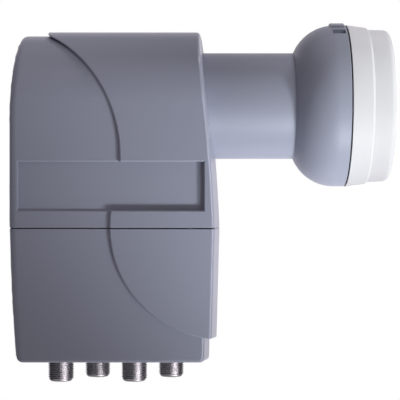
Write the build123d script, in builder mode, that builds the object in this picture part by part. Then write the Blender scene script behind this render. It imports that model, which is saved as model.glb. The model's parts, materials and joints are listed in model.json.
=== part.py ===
from build123d import *
import math
import os

os.makedirs("parts", exist_ok=True)

# X runs along the neck to the feed cap, Z is up, -Y is the front; the origin is mid-clamp on the neck.

# Horn
neck_radius = 20.0
horn_root = -24.5
bowl_radius = 30.4
bowl_arc = 16.6
bowl_arc_x = 29.6
bowl_rim = 33.4
guide_radius = 8.75
guide_lip_x = 29.0
guide_lip_radius = 10.75
choke_floor = 20.0
choke_ring_inner = 17.0
choke_ring_outer = 18.6
choke_ring_x = 31.0
bowl_floor = 26.0
cap_ledge_width = 3.8
cap_ledge_x = 29.5
bowl_wall = 2.4
guide_wall = 2.75
neck_wall = 2.6
core_end = 16.5
horn_boss_radius = 3.0
horn_screw_circle = 14.45
latch_pad_height = 0.8
latch_pad_x = (28.0, 32.7)
latch_pad_half_angle = 20.0
latch_slot_width = 1.3
latch_slot_depth = 1.6
latch_slot_angle = 28.0

# Feed cap
cap_gap = 0.5
cap_overhang = 0.1
cap_band_x = 41.2
cap_rear_taper = 1.0
cap_step = 0.75
cap_front_taper = 0.25
cap_front_x = 49.75
cap_dome = 0.4
cap_rim_round = 2.0
cap_wall = 1.6
cap_spigot_play = 0.3
cap_spigot_wall = 2.0
cap_web_x = 36.0
cap_seal_setback = 0.7
cap_seat_play = 0.3

# Housing form
housing_reach = 26.3
housing_left = -91.93
housing_right = -13.6
housing_bottom = -94.15
draft_angle = 4.5
left_top_knee = -8.0
left_top_arc = 172.0
left_low_knee = -30.0
left_low_arc = 800.0
right_top_lean = 2.15
right_top_arc = 615.0
right_low_lean = 1.53
edge_round = 1.15
trim_margin = 6.0

# Swept raised zone
swell_height = 1.5
swell_side = 2.65
swell_top_x = -78.3
swell_top_round = 4.0
swell_foot_x = -24.0
swell_foot_z = -60.0
swell_upper_arc = 50.8
swell_upper_x = -100.75
swell_upper_z = -19.6
swell_lower_arc = 40.5
swell_bearing = -16.34
swell_bevel = 0.5

# Covers
wall = 2.2
seam_z = -45.8
seam_gap = 0.4
recess_left_inset = 4.93
recess_right_inset = 5.6
recess_lift = 6.06
recess_height = 18.34
recess_rim = 0.45
recess_depth = 0.9
recess_backing = 2.0
recess_margin = 2.0
neck_clearance = 0.2
collar_wall = 3.2
collar_setback = 0.1
neck_seal_offset = 1.9
neck_seal_section = 0.8
skirt_left_margin = 4.43
skirt_right_margin = 6.4
skirt_face_margin = 1.1
skirt_round = 4.0
skirt_wall = 2.0
floor_recess = 3.75
floor_thickness = 2.2
boss_left_inset = 7.33
boss_right_inset = 6.5
boss_high_z = 8.0
boss_low_z = -36.0
boss_radius = 3.8

# Weather shield
shield_wall = 2.0
rib_width = 2.4
rib_clearance = 0.3
front_rib_spots = (-72.0, -36.0)
side_rib_offset = 9.0
travel = 30.0
stop_margin = 0.4
stop_bar_height = 2.5
stop_lug_height = 3.0
stop_lug_reach = 1.2
stop_lug_width = 12.0

# Chassis
chassis_left_gap = 3.5
chassis_top = 17.0
chassis_wall = 2.5
chassis_end_wall = 3.0
chassis_round = 8.0
tunnel_radius = 11.4
tunnel_end = -64.0
guide_end = -60.0
lid_top = 9.0
lid_thickness = 1.8
lid_clearance = 0.5
gasket_thickness = 0.5
lid_boss_radius = 3.0
lid_boss_depth = 6.0
lid_screw_inset = 3.0
lid_screw_top_inset = 6.0
lid_screw_mid_z = -42.0
lid_screw_low_inset = 3.2

# Board and probes
board_clearance = 0.5
board_top_gap = 2.6
board_port_gap = 2.0
board_thickness = 1.6
board_post_radius = 3.0
board_post_left_inset = 6.0
board_post_right_inset = 5.5
board_post_top_inset = 6.0
board_post_low_inset = 12.0
probe_radius = 0.6
probe_foot = 4.0
probe_bush_radius = 2.1
vertical_probe_x = -38.0
horizontal_probe_x = -52.0
probe_reach = 6.5

# Ports
port_row_offset = 6.5
port_spots = ((-73.05, -1), (-60.25, 1), (-45.6, -1), (-32.05, 1))
port_proud = 9.05
port_radius = 4.7625
port_mouth_bevel = 0.5
port_collar_height = 1.7
port_collar_flats = 12.0
washer_thickness = 0.8
washer_radius = 6.2
port_spigot_radius = 4.6
port_spigot_reach = 6.4
port_hole_clearance = 0.3
insulator_radius = 3.4
insulator_setback = 0.5
contact_radius = 0.8
contact_bore = 0.45
contact_setback = 1.5
contact_depth = 12.0
contact_tail_rise = 3.0

# Fasteners
screw_shank = 1.4
screw_head = 2.7
screw_head_height = 2.0
screw_slot = 0.9
small_shank = 1.1
small_head = 2.2
small_head_height = 1.4
screw_play = 0.2
cover_screw_seat = 12.0
cover_screw_length = 22.0
lid_screw_length = 6.5
board_screw_length = 7.0
horn_screw_length = 12.0
pilot_spare = 0.5
cut_margin = 1.0

neck_end = bowl_arc_x - math.sqrt(bowl_arc**2 - (neck_radius - bowl_radius + bowl_arc) ** 2)
swell_turn = math.radians(swell_bearing)
swell_join = (
    swell_upper_x + swell_upper_arc * math.cos(swell_turn),
    swell_upper_z + swell_upper_arc * math.sin(swell_turn),
)
swell_lower_x = swell_join[0] + swell_lower_arc * math.cos(swell_turn)
swell_lower_z = swell_join[1] + swell_lower_arc * math.sin(swell_turn)
swell_blend_x = swell_top_x + swell_top_round
swell_blend_run = swell_blend_x - swell_upper_x
swell_blend_rise = math.sqrt((swell_upper_arc + swell_top_round) ** 2 - swell_blend_run**2)
swell_blend_z = swell_upper_z + swell_blend_rise
draft = math.tan(math.radians(draft_angle))
bowl_bore = bowl_radius - bowl_wall
cap_ledge_radius = bowl_bore - cap_ledge_width
core_inner = guide_radius + guide_wall
core_outer = neck_radius - neck_wall
cap_rear_radius = bowl_radius + cap_overhang
cap_band_radius = cap_rear_radius - cap_rear_taper
cap_step_radius = cap_band_radius - cap_step
cap_front_radius = cap_step_radius - cap_front_taper
cap_spigot_radius = bowl_bore - cap_spigot_play
recess_left = housing_left + recess_left_inset
recess_right = housing_right - recess_right_inset
recess_bottom = seam_z + recess_lift
recess_top = recess_bottom + recess_height
skirt_left = housing_left + shield_wall + skirt_left_margin
skirt_right = housing_right - shield_wall - skirt_right_margin
skirt_half_depth = housing_reach - shield_wall - skirt_face_margin
boss_left = housing_left + boss_left_inset
boss_right = housing_right - boss_right_inset
boss_spots = ((boss_left, boss_high_z), (boss_left, boss_low_z), (boss_right, boss_low_z))
collar_inner_x = horn_root + collar_setback
neck_seal_x = horn_root + neck_seal_offset
floor_z = housing_bottom + floor_recess
floor_top = floor_z + floor_thickness
lid_stack = gasket_thickness + lid_thickness + small_head_height
chassis_left = skirt_left + skirt_wall + chassis_left_gap
chassis_right = horn_root - gasket_thickness
chassis_half_depth = skirt_half_depth - skirt_wall - lid_clearance - lid_stack
ledge_top = seam_z + seam_gap / 2 + wall
collar_top = floor_z - washer_thickness
port_end = housing_bottom - port_proud
port_collar_z = collar_top - port_collar_height
port_spigot_top = floor_z + port_spigot_reach
lid_screw_columns = (chassis_left + lid_screw_inset, chassis_right - lid_screw_inset)
lid_screw_rows = (lid_top - lid_screw_top_inset, lid_screw_mid_z, floor_top + lid_screw_low_inset)
lid_screw_spots = [(x, z) for z in lid_screw_rows for x in lid_screw_columns]
lid_seat = -chassis_half_depth - gasket_thickness
lid_front = lid_seat - lid_thickness
horn_screw_spots = [
    (horn_screw_circle * math.cos(math.radians(a)), horn_screw_circle * math.sin(math.radians(a)))
    for a in (45, 135, 225, 315)
]


def sag(radius, run):
    """How far an arc leaves its tangent after a run along it."""
    return radius - math.sqrt(radius**2 - run**2)


def drafted_half(left, right, reach, bottom):
    """Front half of the housing form: drafted sides trimmed by an arch round the neck's axis."""
    top = reach + trim_margin
    low = bottom - trim_margin

    def left_at(z):
        if z > left_top_knee:
            return (left + sag(left_top_arc, z - left_top_knee), z)
        return (left + sag(left_low_arc, left_low_knee - z), z)

    def right_at(z):
        run = abs(z - seam_z)
        if z > seam_z:
            return (right - run * math.tan(math.radians(right_top_lean)) - sag(right_top_arc, run), z)
        return (right - run * math.tan(math.radians(right_low_lean)), z)

    with BuildPart() as half:
        with BuildSketch(Plane.XZ):
            with BuildLine():
                ThreePointArc(left_at(top), left_at((top + left_top_knee) / 2), (left, left_top_knee))
                Line((left, left_top_knee), (left, left_low_knee))
                ThreePointArc((left, left_low_knee), left_at((low + left_low_knee) / 2), left_at(low))
                Line(left_at(low), right_at(low))
                Line(right_at(low), (right, seam_z))
                ThreePointArc((right, seam_z), right_at((top + seam_z) / 2), right_at(top))
                Line(right_at(top), left_at(top))
            make_face()
        extrude(amount=reach + trim_margin, taper=draft_angle)
        with BuildSketch(Plane.YZ.offset(left - trim_margin)):
            with BuildLine():
                Polyline((0, reach), (0, bottom - reach * draft), (-reach, bottom), (-reach, 0))
                RadiusArc((-reach, 0), (0, reach), reach)
            make_face()
        extrude(amount=right - left + 2 * trim_margin, mode=Mode.INTERSECT)
    return half.part


def swept_prism(inset):
    """Region of the raised zone in front view, carried through the front half."""
    upper = swell_upper_arc + inset
    lower = swell_lower_arc - inset
    blend = swell_top_round - inset
    top = housing_reach + 2 * trim_margin
    right = housing_right + trim_margin
    left = swell_top_x + inset
    lean = math.atan2(swell_blend_rise, swell_blend_run)

    def round_upper(turn):
        return (swell_upper_x + upper * math.cos(turn), swell_upper_z + upper * math.sin(turn))

    crown_mid = (swell_blend_x - blend * math.cos(lean / 2), swell_blend_z - blend * math.sin(lean / 2))
    low = (swell_lower_x, swell_lower_z - lower)
    turn = math.radians(225 + swell_bearing / 2)
    lower_mid = (swell_lower_x + lower * math.cos(turn), swell_lower_z + lower * math.sin(turn))
    with BuildPart() as prism:
        with BuildSketch(Plane.XZ):
            with BuildLine():
                ThreePointArc((left, swell_blend_z), crown_mid, round_upper(lean))
                ThreePointArc(round_upper(lean), round_upper((lean + swell_turn) / 2), round_upper(swell_turn))
                ThreePointArc(round_upper(swell_turn), lower_mid, low)
                Polyline(low, (right, low[1]), (right, top), (left, top), (left, swell_blend_z))
            make_face()
        extrude(amount=housing_reach + trim_margin)
    return prism.part


def swept_foot():
    """Lower end of the raised zone on the right side, drafted as the mould's other walls are."""
    reach = housing_reach - swell_bevel
    lower = swell_lower_arc + reach * draft
    right = housing_right + trim_margin
    low = (swell_lower_x, swell_lower_z - lower)
    run = swell_lower_x - swell_foot_x
    left_low = (swell_foot_x, swell_lower_z - math.sqrt(lower**2 - run**2))
    mid = (swell_lower_x - run / 2, swell_lower_z - math.sqrt(lower**2 - (run / 2) ** 2))
    with BuildPart() as foot:
        with BuildSketch(Plane.XZ):
            with BuildLine():
                ThreePointArc(left_low, mid, low)
                Polyline(low, (right, low[1]), (right, swell_foot_z), (swell_foot_x, swell_foot_z), left_low)
            make_face()
        extrude(amount=reach, taper=draft_angle)
    return foot.part


def rounded(half):
    """The half with its side edges and bottom edges rounded."""
    with BuildPart() as soft:
        add(half)
        sides = soft.faces().filter_by(lambda f: abs(f.normal_at().X) > 0.7).edges()
        across = soft.faces().filter_by(lambda f: abs(f.normal_at().X) < 0.3).edges()
        bottom = soft.faces().sort_by(Axis.Z)[0].edges()
        soft_edges = (sides & across) + bottom
        fillet([e for e in soft_edges if e.center().Y < -0.01], edge_round)
    return soft.part


def on_step(edge):
    """Whether an edge runs along the brow of the S-shaped step."""
    for share in (0.1, 0.5, 0.9):
        spot = edge.position_at(share)
        upper = math.hypot(spot.X - swell_upper_x, spot.Z - swell_upper_z) - swell_upper_arc
        lower = math.hypot(spot.X - swell_lower_x, spot.Z - swell_lower_z) - swell_lower_arc
        crown = math.hypot(spot.X - swell_blend_x, spot.Z - swell_blend_z) - swell_top_round
        if min(abs(upper), abs(lower), abs(crown)) > 0.01 or spot.Y > -1:
            return False
    return abs(edge.tangent_at(0.5).Y) < 0.99


def swept_half(inset):
    """Raised zone of the front half, standing over the plain form on the S-shaped step."""
    right = housing_right - inset
    reach = housing_reach + swell_height - inset
    bottom = housing_bottom if inset == 0 else housing_bottom - trim_margin
    half = drafted_half(housing_left - swell_height + inset, right, reach, bottom)
    with BuildPart() as region:
        add(swept_prism(inset))
        if inset == 0:
            add(swept_foot())
    with BuildPart() as zone:
        add(rounded(half) if inset == 0 else half)
        add(region.part, mode=Mode.INTERSECT)
        if inset == 0:
            chamfer(zone.edges().filter_by(on_step), swell_bevel)
    return zone.part


def form(inset):
    """Both halves of the housing form, plain zone and raised zone together."""
    bottom = housing_bottom if inset == 0 else housing_bottom - trim_margin
    right = housing_right - swell_side - inset
    plain = drafted_half(housing_left + inset, right, housing_reach - inset, bottom)
    plain = rounded(plain) if inset == 0 else plain
    zone = swept_half(inset)
    with BuildPart() as whole:
        add(plain)
        add(zone)
        mirror(about=Plane.XZ)
    return whole.part


def on_recess_rim(edge):
    """Whether an edge runs round the mouth of the front recess."""
    spot = edge.center()
    across = (recess_left + recess_rim, recess_right - recess_rim)
    along = (recess_bottom + recess_rim, recess_top - recess_rim)
    on_side = min(abs(spot.X - x) for x in across) < 0.01 and along[0] - 0.01 < spot.Z < along[1] + 0.01
    on_end = min(abs(spot.Z - z) for z in along) < 0.01 and across[0] - 0.01 < spot.X < across[1] + 0.01
    at_mouth = spot.Y < 0.01 - housing_reach and abs(edge.tangent_at(0.5).Y) < 0.5
    return (on_side or on_end) and at_mouth


def block(low, high):
    """Rectangular block between two opposite corners."""
    with BuildPart() as brick:
        with Locations(tuple((a + b) / 2 for a, b in zip(low, high))):
            Box(*(b - a for a, b in zip(low, high)))
    return brick.part


def rods(plane, spots, radius, length):
    """Equal round rods raised from a plane at the given spots."""
    with BuildPart() as bundle:
        with BuildSketch(plane):
            with Locations(*spots):
                Circle(radius)
        extrude(amount=length)
    return bundle.part


def drill(plane, spots, radius, length):
    """Round holes cut into the piece at hand."""
    add(rods(plane, spots, radius, length), mode=Mode.SUBTRACT)


def carve(low, high):
    """Rectangular space cut out of the piece at hand."""
    add(block(low, high), mode=Mode.SUBTRACT)


def turned(points):
    """Solid of revolution about the neck's axis from (x, radius) points."""
    with BuildPart() as solid:
        with BuildSketch(Plane.XZ):
            with BuildLine():
                Polyline(*points, close=True)
            make_face()
        revolve(axis=Axis.X)
    return solid.part


def screws(plane, spots, head, head_height, shank, length, sense):
    """Slotted screws whose heads stand on a plane, to its front or to its back."""
    with BuildPart() as group:
        add(rods(plane, spots, head, sense * head_height))
        add(rods(plane, spots, shank, -sense * length))
        with BuildSketch(plane.offset(sense * head_height)):
            with Locations(*spots):
                Rectangle(2 * head, screw_slot)
        extrude(amount=-sense * head_height / 2, mode=Mode.SUBTRACT)
    return group.part


def publish(piece, name):
    """Label a finished piece and write its file."""
    piece.label = name
    export_step(piece, f"parts/{name}.step")


outer_form = form(0)
cover_void = form(wall)
shield_void = form(shield_wall)
rib_reach = form(shield_wall / 2)
upper_edge = seam_z + seam_gap / 2
shield_top = seam_z - seam_gap / 2
stop_top = shield_top - stop_bar_height - travel - stop_margin
far = 120.0
below_covers = block((-far, -far, -far), (far, far, upper_edge))
below_ledge = block((-far, -far, -far), (far, far, ledge_top))
above_shield = block((-far, -far, shield_top), (far, far, far))
port_centres = [(x, side * port_row_offset) for x, side in port_spots]

# Both covers before they are parted: shell, skirt, floor and the collar round the neck
collar_radius = neck_radius + neck_clearance + collar_wall
skirt_mid = (skirt_left + skirt_right) / 2
skirt_width = skirt_right - skirt_left
with BuildPart() as collar:
    add(turned(((collar_inner_x, 0), (collar_inner_x, collar_radius), (0, collar_radius), (0, 0))))
    add(outer_form, mode=Mode.INTERSECT)
with BuildPart() as upper_room:
    add(cover_void)
    add(below_ledge, mode=Mode.SUBTRACT)
with BuildPart() as shell:
    add(outer_form)
    add(below_covers, mode=Mode.SUBTRACT)
    add(upper_room.part, mode=Mode.SUBTRACT)
    add(collar.part)
    with BuildSketch(Plane.XY.offset(floor_z)):
        with Locations((skirt_mid, 0)):
            RectangleRounded(skirt_width, 2 * skirt_half_depth, skirt_round)
    extrude(amount=ledge_top - floor_z)
    with Locations(*((x, 0, stop_top - stop_lug_height / 2) for x in (skirt_left, skirt_right))):
        Box(2 * stop_lug_reach, stop_lug_width, stop_lug_height)
    with BuildSketch(Plane.XY.offset(floor_top)):
        with Locations((skirt_mid, 0)):
            RectangleRounded(
                skirt_width - 2 * skirt_wall, 2 * (skirt_half_depth - skirt_wall), skirt_round - skirt_wall
            )
    extrude(amount=ledge_top - floor_top, mode=Mode.SUBTRACT)
    bore = neck_radius + neck_clearance
    add(turned(((horn_root, 0), (horn_root, bore), (far, bore), (far, 0))), mode=Mode.SUBTRACT)
    groove = (neck_seal_x - neck_seal_section, neck_seal_x + neck_seal_section)
    groove_radius = neck_radius + 2 * neck_seal_section
    groove_profile = ((groove[0], 0), (groove[0], groove_radius), (groove[1], groove_radius), (groove[1], 0))
    add(turned(groove_profile), mode=Mode.SUBTRACT)
    port_hole = port_spigot_radius + port_hole_clearance
    drill(Plane.XY.offset(floor_z), port_centres, port_hole, floor_thickness)

with BuildPart() as front_bosses:
    add(rods(Plane.XZ, boss_spots, boss_radius, far))
    add(shield_void, mode=Mode.INTERSECT)
with BuildPart() as front_cover:
    add(shell.part)
    split(bisect_by=Plane.XZ, keep=Keep.TOP)
    recess_floor = recess_depth - housing_reach
    backing_low = (recess_left - recess_margin, recess_floor, recess_bottom - recess_margin)
    backing_high = (recess_right + recess_margin, recess_floor + recess_backing, recess_top + recess_margin)
    add(block(backing_low, backing_high))
    add(front_bosses.part)
    floor_low = (recess_left + recess_rim, -far, recess_bottom + recess_rim)
    carve(floor_low, (recess_right - recess_rim, recess_floor, recess_top - recess_rim))
    chamfer(front_cover.edges().filter_by(on_recess_rim), recess_rim)
    drill(Plane.XZ, boss_spots, screw_shank, cover_screw_length - cover_screw_seat + pilot_spare)
publish(front_cover.part, "front_cover")

with BuildPart() as rear_bosses:
    add(rods(Plane.XZ, boss_spots, boss_radius, -far))
    add(shield_void, mode=Mode.INTERSECT)
with BuildPart() as rear_cover:
    add(shell.part)
    split(bisect_by=Plane.XZ, keep=Keep.BOTTOM)
    add(rear_bosses.part)
    drill(Plane.XZ, boss_spots, screw_shank + screw_play, -cover_screw_seat)
    drill(Plane.XZ.offset(-cover_screw_seat), boss_spots, screw_head + screw_play, -far)
publish(rear_cover.part, "rear_cover")

seat = Plane.XZ.offset(-cover_screw_seat)
cover_screws = screws(seat, boss_spots, screw_head, screw_head_height, screw_shank, cover_screw_length, -1)
publish(cover_screws, "cover_screws")

# Sleeve below the seam, guided by ribs on the skirt and held by bars above the skirt's lugs
rib_low = floor_z + floor_thickness
face_reach = skirt_half_depth + rib_clearance
with BuildPart() as shield_ribs:
    for x in front_rib_spots:
        for side in (-1, 1):
            near = side * face_reach
            away = side * far
            low = (x - rib_width / 2, min(near, away), rib_low)
            add(block(low, (x + rib_width / 2, max(near, away), shield_top)))
    left_reach = skirt_left - rib_clearance
    right_reach = skirt_right + rib_clearance
    for y in (-side_rib_offset, side_rib_offset):
        add(block((-far, y - rib_width / 2, rib_low), (left_reach, y + rib_width / 2, shield_top)))
        add(block((right_reach, y - rib_width / 2, rib_low), (far, y + rib_width / 2, shield_top)))
    bar_low = shield_top - stop_bar_height
    add(block((-far, -side_rib_offset, bar_low), (left_reach, side_rib_offset, shield_top)))
    add(block((right_reach, -side_rib_offset, bar_low), (far, side_rib_offset, shield_top)))
    add(rib_reach, mode=Mode.INTERSECT)
with BuildPart() as weather_shield:
    add(outer_form)
    add(above_shield, mode=Mode.SUBTRACT)
    add(shield_void, mode=Mode.SUBTRACT)
    add(shield_ribs.part)
publish(weather_shield.part, "weather_shield")

# Horn: neck and bowl in one casting, with the waveguide, choke ring and cored screw bosses
bowl_centre = bowl_radius - bowl_arc
bowl_start = math.atan2(neck_radius - bowl_centre, neck_end - bowl_arc_x)
bowl_turn = (bowl_start + math.pi / 2) / 2
bowl_mid = (bowl_arc_x + bowl_arc * math.cos(bowl_turn), bowl_centre + bowl_arc * math.sin(bowl_turn))
with BuildPart() as feed_horn:
    with BuildSketch(Plane.XZ):
        with BuildLine():
            Polyline((horn_root, 0), (horn_root, neck_radius), (neck_end, neck_radius))
            ThreePointArc((neck_end, neck_radius), bowl_mid, (bowl_arc_x, bowl_radius))
            Polyline((bowl_arc_x, bowl_radius), (bowl_rim, bowl_radius), (bowl_rim, 0), (horn_root, 0))
        make_face()
    revolve(axis=Axis.X)
    with BuildSketch(Plane.YZ.offset(latch_pad_x[0])):
        Circle(bowl_radius + latch_pad_height)
        Circle(bowl_radius - latch_slot_depth, mode=Mode.SUBTRACT)
        with BuildLine():
            spread = far * math.tan(math.radians(latch_pad_half_angle))
            Polyline((0, 0), (spread, far), (-spread, far), close=True)
        make_face(mode=Mode.INTERSECT)
    extrude(amount=latch_pad_x[1] - latch_pad_x[0])
    add(
        turned(
            (
                (-far, 0),
                (-far, guide_radius),
                (guide_lip_x, guide_radius),
                (guide_lip_x, guide_lip_radius),
                (choke_floor, guide_lip_radius),
                (choke_floor, choke_ring_inner),
                (choke_ring_x, choke_ring_inner),
                (choke_ring_x, choke_ring_outer),
                (bowl_floor, choke_ring_outer),
                (bowl_floor, cap_ledge_radius),
                (cap_ledge_x, cap_ledge_radius),
                (cap_ledge_x, bowl_bore),
                (far, bowl_bore),
                (far, 0),
            )
        ),
        mode=Mode.SUBTRACT,
    )
    add(
        turned(((-far, core_inner), (-far, core_outer), (core_end, core_outer), (core_end, core_inner))),
        mode=Mode.SUBTRACT,
    )
    add(rods(Plane.YZ.offset(horn_root), horn_screw_spots, horn_boss_radius, core_end - horn_root))
    drill(Plane.YZ.offset(horn_root), horn_screw_spots, screw_shank, horn_screw_length)
    slot_mid = sum(latch_pad_x) / 2
    for angle in (latch_slot_angle, -latch_slot_angle):
        turn = math.radians(angle)
        spot = (slot_mid, -bowl_radius * math.sin(turn), bowl_radius * math.cos(turn))
        with Locations(Location(spot, (angle, 0, 0))):
            Box(latch_pad_x[1] - latch_pad_x[0], latch_slot_width, 2 * latch_slot_depth, mode=Mode.SUBTRACT)
publish(feed_horn.part, "feed_horn")

# Cap: stepped skirt, slightly domed front and a spigot that seats on the bowl's ledge
cap_rear = bowl_rim + cap_gap
cap_step_x = cap_band_x + cap_step
spigot_inner = cap_spigot_radius - cap_spigot_wall
spigot_end = cap_ledge_x + cap_seat_play
with BuildPart() as feed_cap:
    with BuildSketch(Plane.XZ):
        with BuildLine():
            Polyline(
                (cap_front_x + cap_dome, 0),
                (cap_rear, 0),
                (cap_rear, cap_rear_radius),
                (cap_band_x, cap_band_radius),
                (cap_step_x, cap_step_radius),
                (cap_front_x, cap_front_radius),
            )
            ThreePointArc(
                (cap_front_x, cap_front_radius),
                (cap_front_x + cap_dome * 0.75, cap_front_radius / 2),
                (cap_front_x + cap_dome, 0),
            )
        make_face()
    revolve(axis=Axis.X)
    rims = feed_cap.edges().filter_by(GeomType.CIRCLE)
    fillet([e for e in rims if abs(e.radius - cap_front_radius) < 0.01], cap_rim_round)
    add(
        turned(
            (
                (cap_rear, 0),
                (cap_rear, cap_rear_radius - cap_wall),
                (cap_band_x, cap_band_radius - cap_wall),
                (cap_step_x, cap_step_radius - cap_wall),
                (cap_front_x - cap_wall, cap_front_radius - cap_wall),
                (cap_front_x - cap_wall, 0),
            )
        ),
        mode=Mode.SUBTRACT,
    )
    add(
        turned(
            (
                (spigot_end, spigot_inner),
                (spigot_end, cap_spigot_radius),
                (cap_rear, cap_spigot_radius),
                (cap_rear, cap_rear_radius - cap_wall / 2),
                (cap_web_x, cap_rear_radius - cap_wall),
                (cap_web_x, spigot_inner),
            )
        )
    )
publish(feed_cap.part, "feed_cap")

# Seals: a flat ring squeezed between rim and cap, a round ring in the covers' groove, a flat horn gasket
seal_radius = cap_rear_radius - cap_seal_setback
with BuildPart() as cap_seal:
    with BuildSketch(Plane.YZ.offset(bowl_rim)):
        Circle(seal_radius)
        Circle(cap_spigot_radius, mode=Mode.SUBTRACT)
    extrude(amount=cap_gap)
publish(cap_seal.part, "cap_seal")

with BuildPart() as neck_seal:
    with BuildSketch(Plane.XZ):
        with Locations((neck_seal_x, neck_radius + neck_seal_section)):
            Circle(neck_seal_section)
    revolve(axis=Axis.X)
publish(neck_seal.part, "neck_seal")

with BuildPart() as horn_gasket:
    with BuildSketch(Plane.YZ.offset(chassis_right)):
        Circle(neck_radius)
        Circle(guide_radius, mode=Mode.SUBTRACT)
        with Locations(*horn_screw_spots):
            Circle(screw_shank + screw_play, mode=Mode.SUBTRACT)
    extrude(amount=horn_root - chassis_right)
publish(horn_gasket.part, "horn_gasket")

# Chassis: open-fronted box with the waveguide tunnel across its top
room_left = chassis_left + chassis_wall
room_right = chassis_right - chassis_end_wall
room_floor = floor_top + chassis_end_wall
room_depth = chassis_half_depth - chassis_wall
room_top = chassis_top - chassis_wall
board_left = room_left + board_clearance
board_right = room_right - board_clearance
board_top = -tunnel_radius - board_top_gap
board_bottom = port_spigot_top + board_port_gap
board_post_columns = (board_left + board_post_left_inset, board_right - board_post_right_inset)
board_post_rows = (board_top - board_post_top_inset, board_bottom + board_post_low_inset)
board_post_spots = [(x, z) for z in board_post_rows for x in board_post_columns]
contact_tail_z = board_bottom + contact_tail_rise
lid_pilot = lid_screw_length - lid_thickness
board_face = board_thickness / 2
probe_y = -board_face - probe_radius
probe_spots = [(x, probe_y) for x in (vertical_probe_x, horizontal_probe_x)]
with BuildPart() as chassis:
    with BuildSketch(Plane.YZ.offset(chassis_left)) as chassis_outline:
        with Locations((0, (chassis_top + floor_top) / 2)):
            Rectangle(2 * chassis_half_depth, chassis_top - floor_top)
        fillet(chassis_outline.vertices().group_by(Axis.Z)[-1], chassis_round)
    extrude(amount=chassis_right - chassis_left)
    with BuildSketch(Plane.YZ.offset(room_left)) as room_outline:
        with Locations((0, (room_top + room_floor) / 2)):
            Rectangle(2 * room_depth, room_top - room_floor)
        fillet(room_outline.vertices().group_by(Axis.Z)[-1], chassis_round - chassis_wall)
    extrude(amount=room_right - room_left, mode=Mode.SUBTRACT)
    carve((room_left, -far, room_floor), (room_right, 0, lid_top - chassis_wall))
    add(rods(Plane.YZ.offset(tunnel_end), ((0, 0),), tunnel_radius, chassis_right - tunnel_end))
    add(block((tunnel_end, -chassis_wall / 2, 0), (room_right, chassis_wall / 2, room_top)))
    drill(Plane.YZ.offset(guide_end), ((0, 0),), guide_radius, far)
    add(rods(Plane.XZ.offset(chassis_half_depth), lid_screw_spots, lid_boss_radius, -lid_boss_depth))
    add(rods(Plane.XZ.offset(-room_depth), board_post_spots, board_post_radius, room_depth - board_face))
    drill(Plane.XZ.offset(chassis_half_depth), lid_screw_spots, small_shank, -lid_pilot)
    drill(Plane.XZ.offset(-board_face), board_post_spots, small_shank, -board_screw_length)
    drill(Plane.XY.offset(-tunnel_radius - cut_margin), probe_spots, probe_bush_radius, tunnel_radius)
    drill(Plane.YZ.offset(room_right - cut_margin), horn_screw_spots, screw_shank + screw_play, far)
    head_room = screw_head_height + screw_play
    drill(Plane.YZ.offset(room_right - head_room), horn_screw_spots, screw_head + screw_play, head_room)
    drill(Plane.XY.offset(floor_z), port_centres, port_spigot_radius, port_spigot_top - floor_z)
publish(chassis.part, "chassis")

with BuildPart() as chassis_lid:
    add(block((chassis_left, lid_front, floor_top), (chassis_right, lid_seat, lid_top)))
    drill(Plane.XZ.offset(-lid_seat), lid_screw_spots, small_shank + screw_play, far)
publish(chassis_lid.part, "chassis_lid")

with BuildPart() as lid_gasket:
    add(block((chassis_left, lid_seat, floor_top), (chassis_right, -chassis_half_depth, lid_top)))
    carve((room_left, -far, room_floor), (room_right, far, lid_top - chassis_wall))
    add(rods(Plane.XZ.offset(chassis_half_depth), lid_screw_spots, lid_boss_radius, gasket_thickness))
    drill(Plane.XZ, lid_screw_spots, small_shank + screw_play, far)
publish(lid_gasket.part, "lid_gasket")

seat = Plane.XZ.offset(-lid_front)
lid_screws = screws(seat, lid_screw_spots, small_head, small_head_height, small_shank, lid_screw_length, 1)
publish(lid_screws, "lid_screws")
seat = Plane.YZ.offset(room_right)
horn_screws = screws(seat, horn_screw_spots, screw_head, screw_head_height, screw_shank, horn_screw_length, -1)
publish(horn_screws, "horn_screws")

# Board on the chassis posts, with the two antenna pins soldered along its top edge
with BuildPart() as rf_board:
    add(block((board_left, -board_face, board_bottom), (board_right, board_face, board_top)))
    drill(Plane.XZ.offset(-far), board_post_spots, small_shank + screw_play, 2 * far)
publish(rf_board.part, "rf_board")
seat = Plane.XZ.offset(board_face)
board_screws = screws(seat, board_post_spots, small_head, small_head_height, small_shank, board_screw_length, 1)
publish(board_screws, "board_screws")

probe_low = board_top - probe_foot
with BuildPart() as vertical_probe:
    add(rods(Plane.XY.offset(probe_low), probe_spots[:1], probe_radius, probe_reach - guide_radius - probe_low))
publish(vertical_probe.part, "vertical_probe")
with BuildPart() as horizontal_probe:
    add(rods(Plane.XY.offset(probe_low), probe_spots[1:], probe_radius, -probe_low))
    with Locations((horizontal_probe_x, probe_y, 0)):
        Sphere(probe_radius)
    add(rods(Plane.XZ.offset(-probe_y), ((horizontal_probe_x, 0),), probe_radius, -probe_reach))
publish(horizontal_probe.part, "horizontal_probe")
with BuildPart() as probe_bushes:
    add(rods(Plane.XY.offset(-tunnel_radius), probe_spots, probe_bush_radius, tunnel_radius - guide_radius))
    drill(Plane.XY.offset(-tunnel_radius), probe_spots, probe_radius, far)
publish(probe_bushes.part, "probe_bushes")


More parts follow.
